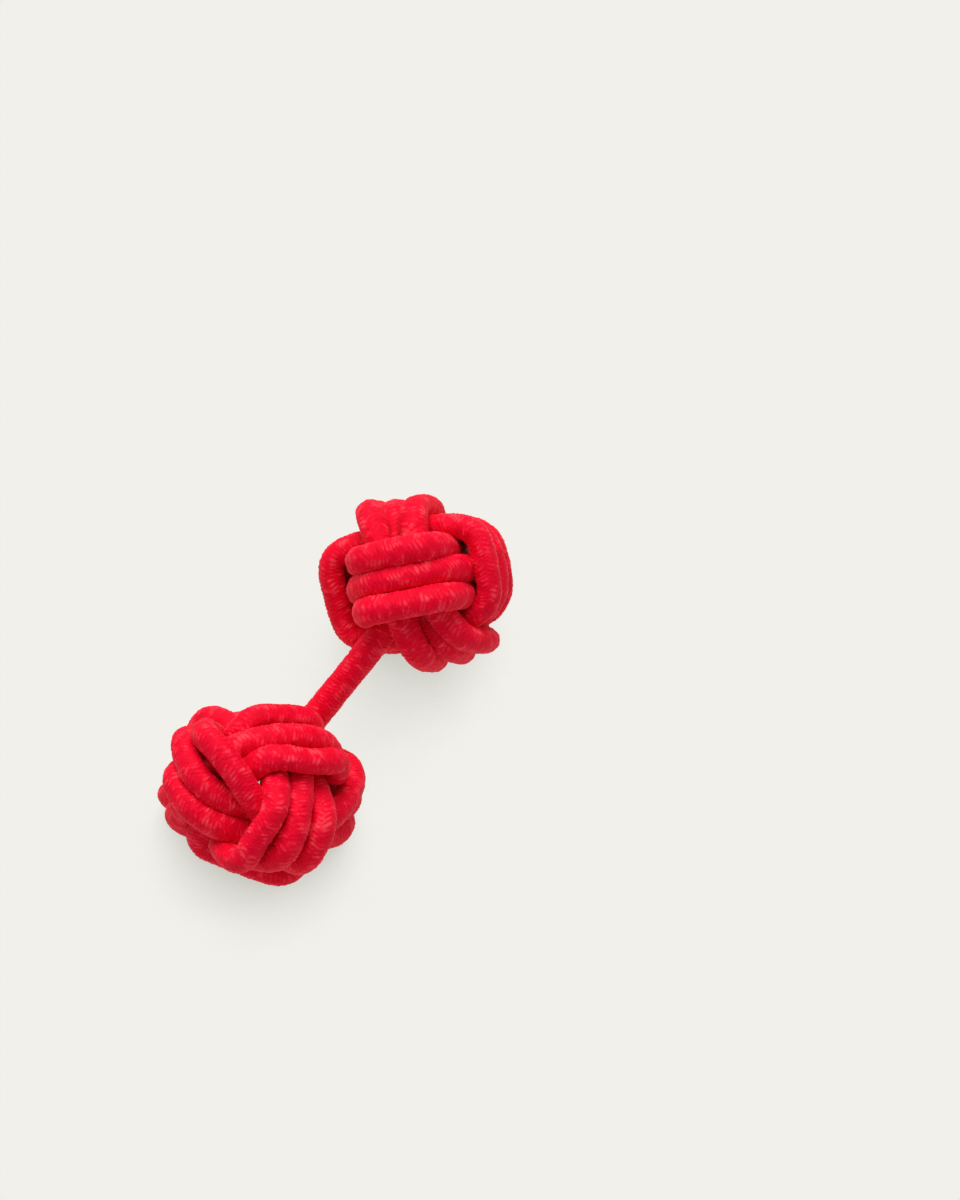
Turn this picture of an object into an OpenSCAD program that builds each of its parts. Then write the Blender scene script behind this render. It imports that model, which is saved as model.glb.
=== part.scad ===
// Silk knot cufflink: two knots of braided cord, each three wraps of three turns, joined by one short cord.
// Sizes are millimetres, +Z is up, and the cufflink lies on the surface at Z = 0 with its link along X.

/* [Cord] */
// distance between neighbouring turns, the unit of the two turn tables
pitch = 1.75; // [1.6:0.05:1.9]
// width of the squeezed cord across a wrap, in pitches
cord_width = 0.88; // [0.8:0.01:0.92]
// thickness of the squeezed cord towards the knot's middle, in pitches
cord_thickness = 0.78; // [0.7:0.01:0.82]

/* [Near knot] */
// middle of the near knot
near_centre = [-9.16, 0.37, 5.61];
// turns of the near knot about X, Y and Z
near_turned = [32.3, -35.8, 138.3];

/* [Far knot] */
// middle of the far knot
far_centre = [8.81, 0.37, 7.48];
// turns of the far knot about X, Y and Z
far_turned = [32.0, -67.0, -167.5];

/* [Hidden] */
// columns of the turn tables, in pitches
HIGH = 0;        // reach of the outer run on the plus side
LOW = 1;         // reach of the outer run on the minus side
FRONT = 2;       // reach of the inner run on the plus side
BACK = 3;        // reach of the inner run on the minus side
HIGH_SIDE = 4;   // sideways place of the plus outer run
LOW_SIDE = 5;    // sideways place of the minus outer run
HIGH_SLANT = 6;  // sideways lean of the plus outer run
LOW_SLANT = 7;   // sideways lean of the minus outer run
FRONT_SIDE = 8;  // sideways place of the plus inner run
BACK_SIDE = 9;   // sideways place of the minus inner run
SQUARE = 10;     // how square the turn is, 2 being an ellipse

near_first = [
    [ 3.25,  3.55,  2.95,  1.75,  2.40,  1.55,  0.10,  0.25,  0.15,  0.60, 2.0],
    [ 3.55,  4.05,  1.75,  2.50,  1.15,  0.55, -0.50, -0.30,  0.80, -0.10, 2.4],
    [ 3.70,  4.05,  2.10,  1.55,  0.10, -0.45, -0.40, -0.25, -0.25, -0.55, 2.4],
];
near_second = [
    [ 3.50,  3.40,  1.95,  1.35,  2.15,  0.90, -0.30,  0.15,  0.50,  0.90, 4.2],
    [ 3.85,  3.50,  2.40,  1.70,  0.85, -0.15, -0.25,  0.10, -0.40, -0.05, 2.0],
    [ 3.80,  3.40,  1.70,  1.25, -0.45, -1.20, -0.20,  0.05, -1.15, -1.10, 3.2],
];
near_third = [
    [ 2.95,  2.55,  1.90,  2.00,  2.25,  0.80, -0.05, -0.85,  0.45,  0.60, 4.8],
    [ 3.25,  2.55,  2.75,  2.85,  1.00, -1.05,  0.00, -0.85, -0.20,  0.15, 2.4],
    [ 3.30,  2.25,  1.70,  2.05, -0.40, -2.80,  0.00, -1.00, -0.50, -0.50, 4.4],
];
far_first = [
    [ 4.00,  3.70,  2.05,  1.35,  1.00,  1.30,  0.00,  0.25,  0.70,  0.75, 4.4],
    [ 3.85,  3.75,  2.70,  1.70,  0.00,  0.25,  0.00,  0.25, -0.10, -0.15, 2.6],
    [ 4.10,  3.70,  2.30,  1.45, -1.05, -0.85, -0.05,  0.20, -1.00, -1.10, 4.8],
];
far_second = [
    [ 3.40,  2.75,  1.75,  2.05,  1.90,  0.55,  0.10,  0.50,  0.95,  0.80, 4.0],
    [ 3.55,  2.65,  1.80,  2.20,  0.80, -0.75,  0.10,  0.65, -0.10, -0.20, 2.8],
    [ 3.55,  2.70,  1.80,  2.05, -0.20, -2.15,  0.10,  0.90, -1.20, -1.25, 3.2],
];
far_third = [
    [ 2.65,  2.85,  2.75,  1.90,  1.20,  2.50, -0.05,  0.05,  1.05,  1.05, 4.2],
    [ 2.70,  3.05,  2.05,  2.80,  0.15,  1.45,  0.05,  0.05,  0.20,  0.70, 4.2],
    [ 2.85,  3.15,  2.95,  2.25, -0.80,  0.35,  0.00,  0.05, -0.20, -0.20, 4.2],
];

// sections of the link cord from the near knot to the far one, measured from the near knot's middle:
// along X, along Y, along Z, radius
link_sections = [
    [ 5.40,  0.34, -1.15, 0.40],
    [ 5.65,  0.30, -1.00, 0.68],
    [ 5.87,  0.26, -0.88, 0.90],
    [ 6.30,  0.17, -0.64, 0.96],
    [12.85, -1.05,  3.08, 0.95],
    [13.20, -1.12,  3.27, 0.82],
    [13.65, -1.20,  3.53, 0.72],
    [14.10, -1.28,  3.78, 0.76],
    [14.50, -1.36,  4.01, 0.90],
    [14.80, -1.41,  4.18, 0.62],
];

// where a wrap's cord begins and ends, in degrees past the middle of its hidden inner run
end_gap = 36;
// half of the stretch in which the cord moves over to the next turn, in degrees
shift_half = 36;
// how far the two moves of a wrap keep away from each other sideways, in pitches each
shift_apart = 0.20;
rings_per_turn = 28;
sides = 10;

// angles that crowd together at the four bends of a turn
function crowded(angle) = angle + 8 * sin(4 * angle);

// distance from a turn's middle at an angle
function reach(row, angle) =
    let (across = cos(angle) > 0 ? row[HIGH] : row[LOW])
    let (along = sin(angle) > 0 ? row[FRONT] : row[BACK])
    pow(pow(abs(cos(angle)) / across, row[SQUARE]) + pow(abs(sin(angle)) / along, row[SQUARE]), -1 / row[SQUARE]);

// sideways place of a turn at an angle
function sideways(row, angle) =
    let (outer = cos(angle) > 0 ? row[HIGH_SIDE] : row[LOW_SIDE])
    let (slant = cos(angle) > 0 ? row[HIGH_SLANT] : row[LOW_SLANT])
    let (inner = sin(angle) > 0 ? row[FRONT_SIDE] : row[BACK_SIDE])
    pow(cos(angle), 2) * (outer + 2.6 * slant * sin(angle)) + pow(sin(angle), 2) * inner;

// point of a single turn
function turn_point(row, angle) =
    let (r = reach(row, angle))
    [r * cos(angle), r * sin(angle), sideways(row, angle)];

// point of a whole wrap, whose cord moves over to the next turn on the hidden side
function wrap_point(rows, angle) =
    let (passed = (angle + 90) / 360)
    let (joint = round(passed))
    let (share = max(0, min(1, 0.5 + (passed - joint) * 180 / shift_half)))
    let (before = rows[max(0, joint - 1)])
    let (after = rows[min(2, joint)])
    let (apart = (joint == 1 ? 4 : -4) * shift_apart * share * (1 - share))
    (1 - share) * turn_point(before, angle) + share * turn_point(after, angle) + [0, 0, apart];

function unit(v) = v / norm(v);

// sections of a tube, each an ellipse that stands across the path and leans with the given side direction
function section(centre, ahead, side, half_width, half_thickness) =
    let (out = unit(cross(ahead, side)))
    let (flat = cross(out, ahead))
    [for (s = [0:sides - 1])
        centre + half_width * cos(360 * s / sides) * flat + half_thickness * sin(360 * s / sides) * out];

// closed solid through a list of sections
module skin(sections) {
    count = len(sections);
    points = [for (ring = sections) each ring];
    last = (count - 1) * sides;
    walls = [for (i = [0:count - 2], s = [0:sides - 1])
        let (a = i * sides + s, b = i * sides + (s + 1) % sides)
        each [[a, b, a + sides], [b, b + sides, a + sides]]];
    caps = [[for (s = [sides - 1:-1:0]) s], [for (s = [0:sides - 1]) last + s]];
    polyhedron(points = points, faces = concat(walls, caps), convexity = 10);
}

// one wrap of three turns, lying in its own plane
module wrap(rows) {
    first = end_gap - 90;
    last = 3 * 360 - 90 - end_gap;
    count = 3 * rings_per_turn;
    step = (last - first) / count;
    sections = [for (i = [0:count])
        let (angle = crowded(first + i * step))
        let (here = wrap_point(rows, angle))
        let (ahead = unit(wrap_point(rows, angle + 1) - wrap_point(rows, angle - 1)))
        let (size = i == 0 || i == count ? 0.6 : 1)
        section(pitch * here, ahead, [0, 0, 1], size * pitch * cord_width / 2, size * pitch * cord_thickness / 2)];
    skin(sections);
}

// the three planes of a knot's wraps
module first_plane() { children(); }
module second_plane() { multmatrix([[0, 0, 1, 0], [1, 0, 0, 0], [0, 1, 0, 0]]) children(); }
module third_plane() { multmatrix([[0, 1, 0, 0], [0, 0, 1, 0], [1, 0, 0, 0]]) children(); }

module near_knot_first_wrap() color("crimson")
    translate(near_centre) rotate(near_turned) first_plane() wrap(near_first);
module near_knot_second_wrap() color("firebrick")
    translate(near_centre) rotate(near_turned) second_plane() wrap(near_second);
module near_knot_third_wrap() color("indianred")
    translate(near_centre) rotate(near_turned) third_plane() wrap(near_third);
module far_knot_first_wrap() color("crimson")
    translate(far_centre) rotate(far_turned) first_plane() wrap(far_first);
module far_knot_second_wrap() color("firebrick")
    translate(far_centre) rotate(far_turned) second_plane() wrap(far_second);
module far_knot_third_wrap() color("indianred")
    translate(far_centre) rotate(far_turned) third_plane() wrap(far_third);

module link_cord() color("red") {
    places = [for (row = link_sections) near_centre + [row[0], row[1], row[2]]];
    count = len(places);
    skin([for (i = [0:count - 1])
        let (ahead = unit(places[min(i + 1, count - 1)] - places[max(i - 1, 0)]))
        section(places[i], ahead, [0, 0, 1], link_sections[i][3], link_sections[i][3])]);
}

near_knot_first_wrap();
near_knot_second_wrap();
near_knot_third_wrap();
far_knot_first_wrap();
far_knot_second_wrap();
far_knot_third_wrap();
link_cord();
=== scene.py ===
"""Silk knot cuff button: two knots of fluffy braided cord joined by a short cord, lying on a pale table."""
import math

import bmesh
import bpy
import numpy as np
from mathutils import Euler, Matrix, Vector


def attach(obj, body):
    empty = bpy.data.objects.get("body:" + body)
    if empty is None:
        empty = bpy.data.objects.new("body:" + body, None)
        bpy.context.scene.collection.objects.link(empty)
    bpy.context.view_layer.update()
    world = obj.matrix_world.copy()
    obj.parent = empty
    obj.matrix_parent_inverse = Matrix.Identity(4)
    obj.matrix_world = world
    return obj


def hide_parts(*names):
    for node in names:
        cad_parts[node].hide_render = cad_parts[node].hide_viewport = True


# every length is in metres, and this is one millimetre
MM = 0.001

# the camera stands far off, above the link and a little to one side; its turns are in degrees
CAMERA_TURN = (22.59, 0.75, -55.28)
CAMERA_AWAY = 0.8
CLIP_START = 0.01
# the photo's size and scale in pixels, and where the middle of the near knot is in it
PHOTO_WIDE = 960
PHOTO_HIGH = 1200
PHOTO_PIXELS_PER_METRE = 14857.0
NEAR_CENTRE_PIXEL = (255.6, 795.3)
# the sensor's width in millimetres, as Blender counts it
SENSOR = 36.0

# the light: even from all round, and wide and soft from a window
SKY_STRENGTH = 0.46
WINDOW_STRENGTH = 2.8
WINDOW_SPREAD = 50

# the table, with a painted shadow, and how far around itself a spot of it looks for cords that shade it
TABLE_HALF = 1.5
SHADOW_REACH = 10 * MM
SHADE_SAMPLES = 16
TABLE_SHADED = (0.500, 0.496, 0.450, 1)
TABLE_OPEN = (0.880, 0.871, 0.823, 1)
FULLY_SHADED = 0.15
FULLY_OPEN = 0.68

# the knots, in the sizes of the part: one pitch is the room that a turn of cord takes
PITCH = 1.75 * MM
NEAR_CENTRE = (-9.16 * MM, 0.37 * MM, 5.61 * MM)
FAR_CENTRE = (8.81 * MM, 0.37 * MM, 7.48 * MM)
NEAR_TURNED = (32.3, -35.8, 138.3)
FAR_TURNED = (32.0, -67.0, -167.5)

# columns of the turn tables, in pitches
HIGH = 0
LOW = 1
FRONT = 2
BACK = 3
HIGH_SIDE = 4
LOW_SIDE = 5
HIGH_SLANT = 6
LOW_SLANT = 7
FRONT_SIDE = 8
BACK_SIDE = 9
SQUARE = 10

# each wrap's three turns, from the first of its cord to the last
TURNS = {
    "near_knot_first_wrap": [
        [3.25, 3.55, 2.95, 1.75, 2.40, 1.55, 0.10, 0.25, 0.15, 0.60, 2.0],
        [3.55, 4.05, 1.75, 2.50, 1.15, 0.55, -0.50, -0.30, 0.80, -0.10, 2.4],
        [3.70, 4.05, 2.10, 1.55, 0.10, -0.45, -0.40, -0.25, -0.25, -0.55, 2.4],
    ],
    "near_knot_second_wrap": [
        [3.50, 3.40, 1.95, 1.35, 2.15, 0.90, -0.30, 0.15, 0.50, 0.90, 4.2],
        [3.85, 3.50, 2.40, 1.70, 0.85, -0.15, -0.25, 0.10, -0.40, -0.05, 2.0],
        [3.80, 3.40, 1.70, 1.25, -0.45, -1.20, -0.20, 0.05, -1.15, -1.10, 3.2],
    ],
    "near_knot_third_wrap": [
        [2.95, 2.55, 1.90, 2.00, 2.25, 0.80, -0.05, -0.85, 0.45, 0.60, 4.8],
        [3.25, 2.55, 2.75, 2.85, 1.00, -1.05, 0.00, -0.85, -0.20, 0.15, 2.4],
        [3.30, 2.25, 1.70, 2.05, -0.40, -2.80, 0.00, -1.00, -0.50, -0.50, 4.4],
    ],
    "far_knot_first_wrap": [
        [4.00, 3.70, 2.05, 1.35, 1.00, 1.30, 0.00, 0.25, 0.70, 0.75, 4.4],
        [3.85, 3.75, 2.70, 1.70, 0.00, 0.25, 0.00, 0.25, -0.10, -0.15, 2.6],
        [4.10, 3.70, 2.30, 1.45, -1.05, -0.85, -0.05, 0.20, -1.00, -1.10, 4.8],
    ],
    "far_knot_second_wrap": [
        [3.40, 2.75, 1.75, 2.05, 1.90, 0.55, 0.10, 0.50, 0.95, 0.80, 4.0],
        [3.55, 2.65, 1.80, 2.20, 0.80, -0.75, 0.10, 0.65, -0.10, -0.20, 2.8],
        [3.55, 2.70, 1.80, 2.05, -0.20, -2.15, 0.10, 0.90, -1.20, -1.25, 3.2],
    ],
    "far_knot_third_wrap": [
        [2.65, 2.85, 2.75, 1.90, 1.20, 2.50, -0.05, 0.05, 1.05, 1.05, 4.2],
        [2.70, 3.05, 2.05, 2.80, 0.15, 1.45, 0.05, 0.05, 0.20, 0.70, 4.2],
        [2.85, 3.15, 2.95, 2.25, -0.80, 0.35, 0.00, 0.05, -0.20, -0.20, 4.2],
    ],
}
# in which of a knot's own directions each wrap's across, along and sideways run
WRAP_PLANES = {"first": (0, 1, 2), "second": (1, 2, 0), "third": (2, 0, 1)}
# where a wrap's cord begins and ends, in degrees past the middle of its hidden inner run
END_GAP = 36
# half of the stretch in which the cord moves over to the next turn, in degrees
SHIFT_HALF = 36
# how far the two moves of a wrap keep away from each other sideways, in pitches each
SHIFT_APART = 0.2
# how much a slant leans an outer run
LEAN = 2.6
# how far points crowd towards the four bends of a turn, in degrees
CROWDING = 8
LINE_POINTS = 4000

# the link's middle line, measured from the near knot's middle in millimetres
LINK_ROUTE = [
    (5.40, 0.34, -1.15), (5.65, 0.30, -1.00), (5.87, 0.26, -0.88), (6.30, 0.17, -0.64),
    (12.85, -1.05, 3.08), (13.20, -1.12, 3.27), (13.65, -1.20, 3.53), (14.10, -1.28, 3.78),
    (14.50, -1.36, 4.01), (14.80, -1.41, 4.18),
]

# the cord: squeezed a little flat in the knots, round in the link
WRAP_HALF_WIDTH = 0.56 * PITCH
WRAP_HALF_THICKNESS = 0.50 * PITCH
LINK_HALF_WIDTH = 0.96 * MM
END_ROUNDING = 0.9 * MM
# slow and quick swelling along a cord, as shares of its width
SLOW_SWELL = 0.02
SLOW_SWELL_LENGTH = 2.1 * MM
QUICK_SWELL = 0.015
QUICK_SWELL_LENGTH = 0.9 * MM

# the braid: fine yarns that run nearly crosswise, each passing over two and under two
YARNS = 8
RIB = 0.27 * MM
RIB_HEIGHT = 0.06 * MM
# the share of a rib's height that lies below the cord's own surface
RIB_SUNK = 0.8
# how blunt a yarn's back is, how high it stands where it dives under, and how much yarns differ
YARN_BLUNTNESS = 0.6
YARN_END_HEIGHT = 0.45
YARN_UNEVENNESS = 0.15
# how far the yarns wander, in yarns, and the patches in which they do
DRIFT = 0.42
DRIFT_LENGTH = 0.45 * MM
DRIFT_PATCHES = 7
# soft lumps of the cord
LUMP_HEIGHT = 0.03 * MM
LUMP_LENGTH = 0.32 * MM
LUMP_PATCHES = 12
# fluff on the yarns, and the share of it painted brighter as glints of light (painted highlights)
FLUFF_HEIGHT = 0.05 * MM
PAINTED_GLINT_SHARE = 0.06
# where the braid lies between the darkest and the brightest red, and what moves it there: painted shade in
# the valleys between ribs and where the cord sinks, painted highlights on rib tops, lumps and specks of
# fluff
VALLEY_TONE = 0.30
RIB_TONE = 0.28
LUMP_TONE = 0.14
PAINTED_GLINT_TONE = 0.14
PATCH_TONE = 0.5
# how fine the uneven patches of the red and the fibres are, and how high the fibres stand
PATCH_SCALE = 900.0
FIBRE_SCALE = 7000.0
FIBRE_HEIGHT = 0.03 * MM
# the ramp's darkest red is painted shade and its brightest red a painted highlight; the full red between
# them is the yarn's own
PAINTED_SHADE_RED = (0.58, 0.0003, 0.010, 1)
FULL_RED = (0.85, 0.001, 0.027, 1)
PAINTED_HIGHLIGHT_RED = (1.0, 0.12, 0.15, 1)
# how finely the cords are made, and how near points at a seam are that become one
RING_STEP = 0.066 * MM
SIDES = 54
SEAM_GAP = 1e-7


def turn_points(row, angle):
    """Points of single turns, one table row for each angle, in pitches."""
    across = np.cos(angle)
    along = np.sin(angle)
    reach_across = np.where(across > 0, row[:, HIGH], row[:, LOW])
    reach_along = np.where(along > 0, row[:, FRONT], row[:, BACK])
    square = row[:, SQUARE]
    near_edge = (np.abs(across) / reach_across) ** square + (np.abs(along) / reach_along) ** square
    reach = near_edge ** (-1 / square)
    outer = np.where(across > 0, row[:, HIGH_SIDE], row[:, LOW_SIDE])
    slant = np.where(across > 0, row[:, HIGH_SLANT], row[:, LOW_SLANT])
    inner = np.where(along > 0, row[:, FRONT_SIDE], row[:, BACK_SIDE])
    side = across ** 2 * (outer + LEAN * slant * along) + along ** 2 * inner
    return np.stack([reach * across, reach * along, side], axis=-1)


def wrap_line(rows):
    """Middle line of a wrap in its own plane, in pitches.

    On the hidden side its cord moves over to the next turn.
    """
    first = END_GAP - 90
    last = 3 * 360 - 90 - END_GAP
    angle = np.linspace(first, last, LINE_POINTS)
    angle = angle + CROWDING * np.sin(np.radians(4 * angle))
    passed = (angle + 90) / 360
    joint = np.floor(passed + 0.5).astype(int)
    share = np.clip(0.5 + (passed - joint) * 180 / SHIFT_HALF, 0, 1)[:, None]
    turns = np.array(rows)
    before = turn_points(turns[np.maximum(0, joint - 1)], np.radians(angle))
    after = turn_points(turns[np.minimum(2, joint)], np.radians(angle))
    # the sideways distance rises from nothing to its full size and back during each move
    apart = np.where(joint == 1, 4, -4)[:, None] * SHIFT_APART * share * (1 - share)
    return (1 - share) * before + share * after + apart * [0, 0, 1]


def evenly_spaced(line, step):
    """The same line with its points a step apart, and how far along the line each is."""
    gone = np.concatenate([[0], np.cumsum(np.linalg.norm(np.diff(line, axis=0), axis=1))])
    count = int(round(gone[-1] / step))
    places = np.linspace(0, gone[-1], count + 1)
    return np.stack([np.interp(places, gone, line[:, i]) for i in range(3)], axis=-1), places


def unit(vectors):
    """The same directions with a length of one."""
    return vectors / np.linalg.norm(vectors, axis=-1, keepdims=True)


def patchy(along, around, length, count, shake):
    """Smooth random values between -1 and 1 on a cord, in patches of a length and a count around it."""
    rows = along / length
    columns = np.mod(around, 1) * count
    row = np.floor(rows).astype(int)
    column = np.floor(columns).astype(int)
    down = (rows - row) ** 2 * (3 - 2 * (rows - row))
    over = (columns - column) ** 2 * (3 - 2 * (columns - column))
    value = shake.uniform(-1, 1, (row.max() + 2, count))
    start = value[row, column % count] * (1 - over) + value[row, (column + 1) % count] * over
    end = value[row + 1, column % count] * (1 - over) + value[row + 1, (column + 1) % count] * over
    return start * (1 - down) + end * down


def braid_height(along, around, drift):
    """Height of the braid, from 0 to 1, at a distance along the cord and a share of the way around it."""
    left = YARNS * around + along / RIB + drift
    right = YARNS * around - along / RIB - drift
    left_share = left - np.floor(left)
    right_share = right - np.floor(right)
    place = np.mod(np.floor(left) + np.floor(right), 4)
    left_is_over = place < 2
    across_yarn = np.where(left_is_over, left_share, right_share)
    down_yarn = np.where(left_is_over, (place + right_share) / 2, (place - 2 + left_share) / 2)
    # the bare numbers here only tell the yarns apart and give each a height of its own
    yarn = np.where(left_is_over, np.floor(left), 0.37 - np.floor(right))
    unlike = np.sin(7.3 * yarn + 2.1 * np.floor(down_yarn))
    fullness = 1 - YARN_UNEVENNESS + YARN_UNEVENNESS * unlike
    across_shape = np.sin(np.pi * across_yarn) ** YARN_BLUNTNESS
    down_shape = np.sin(np.pi * down_yarn) ** YARN_BLUNTNESS
    return fullness * across_shape * (YARN_END_HEIGHT + (1 - YARN_END_HEIGHT) * down_shape)


def tube(name, line, side, half_width, half_thickness, seed):
    """A closed braided cord along a line, its width lying along the given side direction."""
    line, gone = evenly_spaced(line, RING_STEP)
    rings = len(line) - 1
    ahead = unit(np.gradient(line, axis=0))
    out = unit(np.cross(ahead, side))
    flat = np.cross(out, ahead)

    bm = bmesh.new()
    bmesh.ops.create_grid(bm, x_segments=rings, y_segments=SIDES, size=0.5, calc_uvs=True)
    mesh = bpy.data.meshes.new(name)
    bm.to_mesh(mesh)
    bm.free()

    spot = np.zeros(len(mesh.vertices) * 3, np.float32)
    mesh.vertices.foreach_get("co", spot)
    spot = spot.reshape(-1, 3)
    ring = np.clip(np.rint((spot[:, 0] + 0.5) * rings).astype(int), 0, rings)
    around = np.rint((spot[:, 1] + 0.5) * SIDES) / SIDES
    angle = 2 * np.pi * around
    along = gone[ring]

    from_end = np.minimum(along, gone[-1] - along)
    fullness = np.sqrt(np.clip(1 - (1 - np.clip(from_end / END_ROUNDING, 0, 1)) ** 2, 0, 1))
    shake = np.random.default_rng(seed)
    drift = DRIFT * patchy(along, around, DRIFT_LENGTH, DRIFT_PATCHES, shake)
    height = braid_height(along, np.mod(around, 1), drift)
    lumps = patchy(along, around, LUMP_LENGTH, LUMP_PATCHES, shake)
    column = np.rint(around * SIDES).astype(int) % SIDES
    tufts = shake.random((rings + 1, SIDES))[ring, column]
    slow = SLOW_SWELL * np.sin(along / SLOW_SWELL_LENGTH + seed)
    quick = QUICK_SWELL * np.sin(along / QUICK_SWELL_LENGTH + 2 * seed)
    swell = 1 + slow + quick
    relief = RIB_HEIGHT * (height - RIB_SUNK) + LUMP_HEIGHT * lumps + FLUFF_HEIGHT * (tufts - 0.5)
    wide = fullness * (half_width * swell + relief) * np.cos(angle)
    thick = fullness * (half_thickness * swell + relief) * np.sin(angle)
    place = line[ring] + wide[:, None] * flat[ring] + thick[:, None] * out[ring]
    mesh.vertices.foreach_set("co", place.astype(np.float32).ravel())
    # the braid's tone is painted light: darker in the valleys between ribs and where the cord sinks
    # (painted shade), lighter on rib tops, lumps and specks of fluff (painted highlights)
    painted_shade_and_highlight = mesh.attributes.new("painted_shade_and_highlight", "FLOAT", "POINT")
    # random tips of fluff painted brighter: painted highlights
    painted_glints = np.where(tufts > 1 - PAINTED_GLINT_SHARE, PAINTED_GLINT_TONE, 0)
    tone = VALLEY_TONE + RIB_TONE * height + LUMP_TONE * lumps + painted_glints
    painted_shade_and_highlight.data.foreach_set("value", tone.astype(np.float32))

    bm = bmesh.new()
    bm.from_mesh(mesh)
    bmesh.ops.remove_doubles(bm, verts=[v for v in bm.verts if v.is_boundary], dist=SEAM_GAP)
    bmesh.ops.recalc_face_normals(bm, faces=bm.faces)
    bm.to_mesh(mesh)
    bm.free()
    mesh.shade_smooth()
    piece = bpy.data.objects.new(name, mesh)
    bpy.context.scene.collection.objects.link(piece)
    return piece


def wrap_cord(node, seed):
    """One wrap of three turns, in its place in its knot."""
    which_knot, which_wrap = node.split("_")[0], node.split("_")[2]
    centre, turned = (NEAR_CENTRE, NEAR_TURNED) if which_knot == "near" else (FAR_CENTRE, FAR_TURNED)
    knot = np.array(Euler([math.radians(a) for a in turned]).to_matrix())
    plane = knot[:, list(WRAP_PLANES[which_wrap])]
    line = wrap_line(TURNS[node]) * PITCH @ plane.T + np.array(centre)
    return tube(node + "_braid", line, plane[:, 2], WRAP_HALF_WIDTH, WRAP_HALF_THICKNESS, seed)


def link_cord(seed):
    """The straight cord between the knots, which runs a little way into each."""
    line = np.array(LINK_ROUTE) * MM + np.array(NEAR_CENTRE)
    return tube("link_cord_braid", line, np.array([0.0, 0.0, 1.0]), LINK_HALF_WIDTH, LINK_HALF_WIDTH, seed)


def red_braid():
    """Fluffy red yarn: deep red between the ribs as painted shade, brighter on top of them as painted
    highlight, with a soft sheen.
    """
    material = bpy.data.materials.new("red_braid")
    material.use_nodes = True
    nodes = material.node_tree.nodes
    links = material.node_tree.links
    shader = nodes["Principled BSDF"]
    shader.inputs["Roughness"].default_value = 0.6
    shader.inputs["Specular IOR Level"].default_value = 0.07
    shader.inputs["Sheen Weight"].default_value = 0.12
    shader.inputs["Sheen Roughness"].default_value = 0.35
    shader.inputs["Sheen Tint"].default_value = (1.0, 0.3, 0.4, 1.0)

    # the braid's painted shade and painted highlights, as stored on its points
    painted_shade_and_highlight = nodes.new("ShaderNodeAttribute")
    painted_shade_and_highlight.attribute_name = "painted_shade_and_highlight"
    where = nodes.new("ShaderNodeTexCoord")
    patches = nodes.new("ShaderNodeTexNoise")
    patches.inputs["Scale"].default_value = PATCH_SCALE
    patches.inputs["Detail"].default_value = 3.0
    links.new(where.outputs["Object"], patches.inputs["Vector"])
    uneven = nodes.new("ShaderNodeMath")
    uneven.operation = "MULTIPLY_ADD"
    uneven.inputs[1].default_value = PATCH_TONE
    uneven.inputs[2].default_value = -PATCH_TONE / 2
    links.new(patches.outputs["Fac"], uneven.inputs[0])
    tone = nodes.new("ShaderNodeMath")
    tone.operation = "ADD"
    tone.use_clamp = True
    links.new(painted_shade_and_highlight.outputs["Fac"], tone.inputs[0])
    links.new(uneven.outputs[0], tone.inputs[1])
    reds = nodes.new("ShaderNodeValToRGB")
    reds.color_ramp.elements[0].position = 0.05
    reds.color_ramp.elements[0].color = PAINTED_SHADE_RED
    reds.color_ramp.elements[1].position = 0.95
    reds.color_ramp.elements[1].color = PAINTED_HIGHLIGHT_RED
    middle = reds.color_ramp.elements.new(0.5)
    middle.color = FULL_RED
    links.new(tone.outputs[0], reds.inputs["Fac"])
    links.new(reds.outputs["Color"], shader.inputs["Base Color"])

    fibres = nodes.new("ShaderNodeTexNoise")
    fibres.inputs["Scale"].default_value = FIBRE_SCALE
    fibres.inputs["Detail"].default_value = 2.0
    links.new(where.outputs["Object"], fibres.inputs["Vector"])
    bump = nodes.new("ShaderNodeBump")
    bump.inputs["Strength"].default_value = 0.5
    bump.inputs["Distance"].default_value = FIBRE_HEIGHT
    links.new(fibres.outputs["Fac"], bump.inputs["Height"])
    links.new(bump.outputs["Normal"], shader.inputs["Normal"])
    return material


def table_material(shade_from):
    """Pale and bright in itself, with a painted shadow: darker only near cords that stand in the given
    direction from it.
    """
    material = bpy.data.materials.new("pale_table")
    material.use_nodes = True
    nodes = material.node_tree.nodes
    links = material.node_tree.links
    shader = nodes["Principled BSDF"]
    shader.inputs["Base Color"].default_value = (0.0, 0.0, 0.0, 1)
    shader.inputs["Roughness"].default_value = 1.0
    shader.inputs["Specular IOR Level"].default_value = 0.0
    shader.inputs["Emission Strength"].default_value = 1.0
    direction = nodes.new("ShaderNodeCombineXYZ")
    for axis in range(3):
        direction.inputs[axis].default_value = shade_from[axis]
    openness = nodes.new("ShaderNodeAmbientOcclusion")
    openness.samples = SHADE_SAMPLES
    openness.inputs["Distance"].default_value = SHADOW_REACH
    links.new(direction.outputs["Vector"], openness.inputs["Normal"])
    # the painted shadow: the table's glow darkens where cords stand near
    tones = nodes.new("ShaderNodeValToRGB")
    tones.color_ramp.elements[0].position = FULLY_SHADED
    tones.color_ramp.elements[0].color = TABLE_SHADED
    tones.color_ramp.elements[1].position = FULLY_OPEN
    tones.color_ramp.elements[1].color = TABLE_OPEN
    links.new(openness.outputs["AO"], tones.inputs["Fac"])
    links.new(tones.outputs["Color"], shader.inputs["Emission Color"])
    return material


def table(shade_from):
    """The flat pale surface that the cufflink lies on."""
    bm = bmesh.new()
    bmesh.ops.create_grid(bm, x_segments=1, y_segments=1, size=TABLE_HALF)
    mesh = bpy.data.meshes.new("table")
    bm.to_mesh(mesh)
    bm.free()
    top = bpy.data.objects.new("table", mesh)
    bpy.context.scene.collection.objects.link(top)
    mesh.materials.append(table_material(shade_from))


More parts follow.
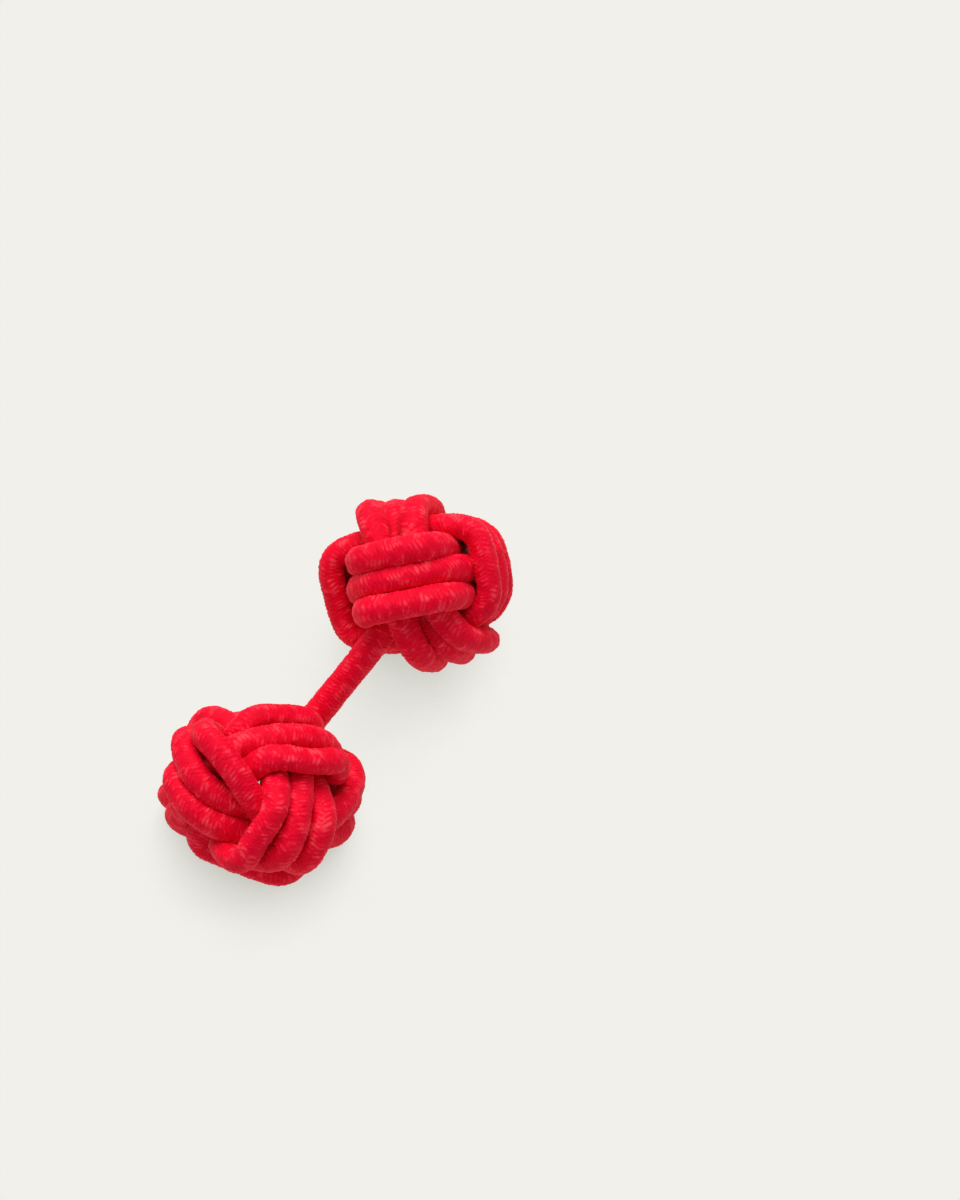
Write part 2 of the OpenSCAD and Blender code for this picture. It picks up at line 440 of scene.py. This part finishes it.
def camera():
    """A long lens at the photo's angle, framed as the photo is."""
    turn = Euler([math.radians(a) for a in CAMERA_TURN])
    view = turn.to_matrix()
    right, up, toward = view.col[0], view.col[1], view.col[2]
    across = (PHOTO_WIDE / 2 - NEAR_CENTRE_PIXEL[0]) / PHOTO_PIXELS_PER_METRE
    upward = (NEAR_CENTRE_PIXEL[1] - PHOTO_HIGH / 2) / PHOTO_PIXELS_PER_METRE
    middle = Vector(NEAR_CENTRE) + right * across + up * upward
    data = bpy.data.cameras.new("camera")
    data.sensor_width = SENSOR
    data.lens = CAMERA_AWAY * SENSOR / (PHOTO_HIGH / PHOTO_PIXELS_PER_METRE)
    data.clip_start = CLIP_START
    stand = bpy.data.objects.new("camera", data)
    stand.location = middle + toward * CAMERA_AWAY
    stand.rotation_euler = turn
    bpy.context.scene.collection.objects.link(stand)
    bpy.context.scene.camera = stand
    return right, up, toward


def lights(right, up, toward):
    """Soft light from all round, and a wide soft one from above and beyond the object."""
    world = bpy.data.worlds.new("studio")
    world.use_nodes = True
    background = world.node_tree.nodes["Background"]
    background.inputs["Color"].default_value = (1.0, 1.0, 1.0, 1)
    background.inputs["Strength"].default_value = SKY_STRENGTH
    bpy.context.scene.world = world
    data = bpy.data.lights.new("window", "SUN")
    data.energy = WINDOW_STRENGTH
    data.angle = math.radians(WINDOW_SPREAD)
    lamp = bpy.data.objects.new("window", data)
    shine = (up * 0.85 + toward * 0.55 - right * 0.10).normalized()
    lamp.rotation_euler = shine.to_track_quat("Z", "Y").to_euler()
    bpy.context.scene.collection.objects.link(lamp)
    bpy.context.scene.view_settings.view_transform = "Standard"


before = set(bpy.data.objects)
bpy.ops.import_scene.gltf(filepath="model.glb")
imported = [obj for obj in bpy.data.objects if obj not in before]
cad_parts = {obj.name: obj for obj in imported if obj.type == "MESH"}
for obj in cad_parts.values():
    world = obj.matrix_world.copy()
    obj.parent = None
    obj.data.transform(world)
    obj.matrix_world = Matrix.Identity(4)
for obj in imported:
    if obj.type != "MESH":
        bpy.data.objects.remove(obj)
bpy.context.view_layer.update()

braid = red_braid()
cords = {node: wrap_cord(node, seed) for seed, node in enumerate(TURNS)}
cords["link_cord"] = link_cord(len(TURNS))
for node, cord in cords.items():
    cord.data.materials.append(braid)
    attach(cord, "root")
    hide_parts(node)

right, up, toward = camera()
lights(right, up, toward)
shade_from = (toward * 0.72 + up * 0.68 + right * 0.08).normalized()
table(shade_from)
